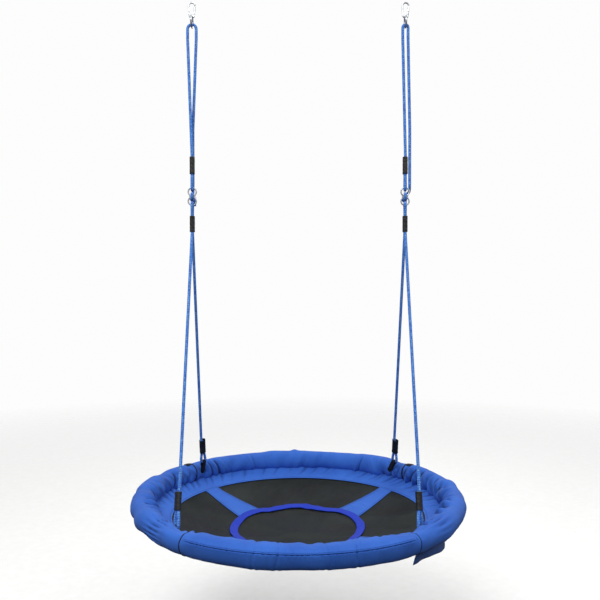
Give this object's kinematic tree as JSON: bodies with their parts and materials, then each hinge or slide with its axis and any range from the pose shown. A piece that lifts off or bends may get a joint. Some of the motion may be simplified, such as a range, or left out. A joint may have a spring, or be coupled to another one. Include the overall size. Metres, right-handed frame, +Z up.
{
  "type": "saucer nest swing",
  "caption": "Round padded nest swing seat with a sagging cloth dish, hung on adjustable ropes with snap hooks.",
  "frame": {"origin": "lowest point of the sagging seat cloth, under the centre of the seat", "axes": "+Z up, +X along the line through the two hanging points, -Y towards the front of the swing"},
  "size_m": [1, 1, 1.61],
  "materials": {
    "blue_cloth": "matte",
    "violet_webbing": "matte",
    "black_cloth": "satin",
    "black_webbing": "matte",
    "black_sleeve": "satin",
    "blue_rope": "matte",
    "grey_foam": "matte",
    "zinc_steel": "satin",
    "tube_steel": "satin"
  },
  "bodies": {
    "hangers": {"snap_hook_left": "zinc_steel", "gate_pin_left": "zinc_steel", "snap_hook_right": "zinc_steel", "gate_pin_right": "zinc_steel"},
    "gate_left": {"hook_gate_left": "zinc_steel", "gate_spring_left": "zinc_steel"},
    "ring_left": {"hanging_ring_left": "zinc_steel"},
    "rope_left": {"upper_rope_left": "blue_rope"},
    "slider_left": {"upper_sleeve_left": "black_sleeve", "rope_eye_left": "blue_rope"},
    "plate_left": {"adjuster_left": "zinc_steel", "rope_tail_left": "blue_rope"},
    "gate_right": {"hook_gate_right": "zinc_steel", "gate_spring_right": "zinc_steel"},
    "ring_right": {"hanging_ring_right": "zinc_steel"},
    "rope_right": {"upper_rope_right": "blue_rope"},
    "slider_right": {"upper_sleeve_right": "black_sleeve", "rope_eye_right": "blue_rope"},
    "plate_right": {"adjuster_right": "zinc_steel", "rope_tail_right": "blue_rope"},
    "seat": {"frame_tube_right": "tube_steel", "frame_tube_back": "tube_steel", "frame_tube_left": "tube_steel", "frame_tube_front": "tube_steel", "tube_screw_right": "zinc_steel", "tube_screw_back": "zinc_steel", "tube_screw_left": "zinc_steel", "tube_screw_front": "zinc_steel", "foam_back": "grey_foam", "foam_left": "grey_foam", "foam_front": "grey_foam", "foam_right": "grey_foam", "cover_back": "blue_cloth", "cover_left": "blue_cloth", "cover_front": "blue_cloth", "cover_right": "blue_cloth", "cover_binding_left": "black_webbing", "cover_binding_right": "black_webbing", "closure_flap": "black_webbing", "seat_panel": "black_cloth", "seat_band": "blue_cloth", "spoke_back_right": "blue_cloth", "spoke_back_left": "blue_cloth", "spoke_front_left": "blue_cloth", "spoke_front_right": "blue_cloth", "centre_ring": "violet_webbing", "v_rope_left": "blue_rope", "v_rope_right": "blue_rope", "apex_sleeve_left": "black_sleeve", "apex_sleeve_right": "black_sleeve", "foot_sleeve_back_right": "black_sleeve", "foot_sleeve_back_left": "black_sleeve", "foot_sleeve_front_left": "black_sleeve", "foot_sleeve_front_right": "black_sleeve", "foot_strap_back_right": "black_webbing", "foot_strap_back_left": "black_webbing", "foot_strap_front_left": "black_webbing", "foot_strap_front_right": "black_webbing"}
  },
  "joints": [
    {"name": "swing_left", "type": "hinge", "parent": "hangers", "child": "ring_left", "pos_m": [-0.322, 0, 1.5627], "axis": [1, 0, 0], "range_deg": [-60, 60]},
    {"name": "sway_left", "type": "hinge", "parent": "ring_left", "child": "rope_left", "pos_m": [-0.322, 0, 1.5346], "axis": [0, 1, 0], "range_deg": [-15, 15]},
    {"name": "height_left", "type": "slide", "parent": "rope_left", "child": "slider_left", "axis": [0, 0, 1], "range_m": [0, 0.2], "deforming": ["upper_rope_left"]},
    {"name": "level_left", "type": "hinge", "parent": "slider_left", "child": "plate_left", "pos_m": [-0.322, 0, 1.0514], "axis": [0, 1, 0], "range_deg": [-15, 15]},
    {"name": "gate_left", "type": "hinge", "parent": "hangers", "child": "gate_left", "pos_m": [-0.3141, 0, 1.5757], "axis": [0, -1, 0], "range_deg": [0, 25], "stiffness_Nm_per_rad": 0.01},
    {"name": "swing_right", "type": "hinge", "parent": "hangers", "child": "ring_right", "pos_m": [0.322, 0, 1.5627], "axis": [1, 0, 0], "range_deg": [-60, 60]},
    {"name": "sway_right", "type": "hinge", "parent": "ring_right", "child": "rope_right", "pos_m": [0.322, 0, 1.5346], "axis": [0, 1, 0], "range_deg": [-15, 15]},
    {"name": "height_right", "type": "slide", "parent": "rope_right", "child": "slider_right", "axis": [0, 0, 1], "range_m": [0, 0.2], "deforming": ["upper_rope_right"]},
    {"name": "level_right", "type": "hinge", "parent": "slider_right", "child": "plate_right", "pos_m": [0.322, 0, 1.0514], "axis": [0, 1, 0], "range_deg": [-15, 15]},
    {"name": "gate_right", "type": "hinge", "parent": "hangers", "child": "gate_right", "pos_m": [0.3299, 0, 1.5757], "axis": [0, -1, 0], "range_deg": [0, 25], "stiffness_Nm_per_rad": 0.01},
    {"name": "pitch", "type": "hinge", "parent": "plate_left", "child": "seat", "pos_m": [-0.322, 0, 0.9986], "axis": [1, 0, 0], "range_deg": [-35, 35]}
  ],
  "couplings": [
    {"joint": "level_left", "follows": "sway_left", "ratio": -1},
    {"joint": "level_right", "follows": "sway_left", "ratio": -1},
    {"joint": "swing_right", "follows": "swing_left", "ratio": 1},
    {"joint": "sway_right", "follows": "sway_left", "ratio": 1},
    {"joint": "height_right", "follows": "height_left", "ratio": 1}
  ]
}
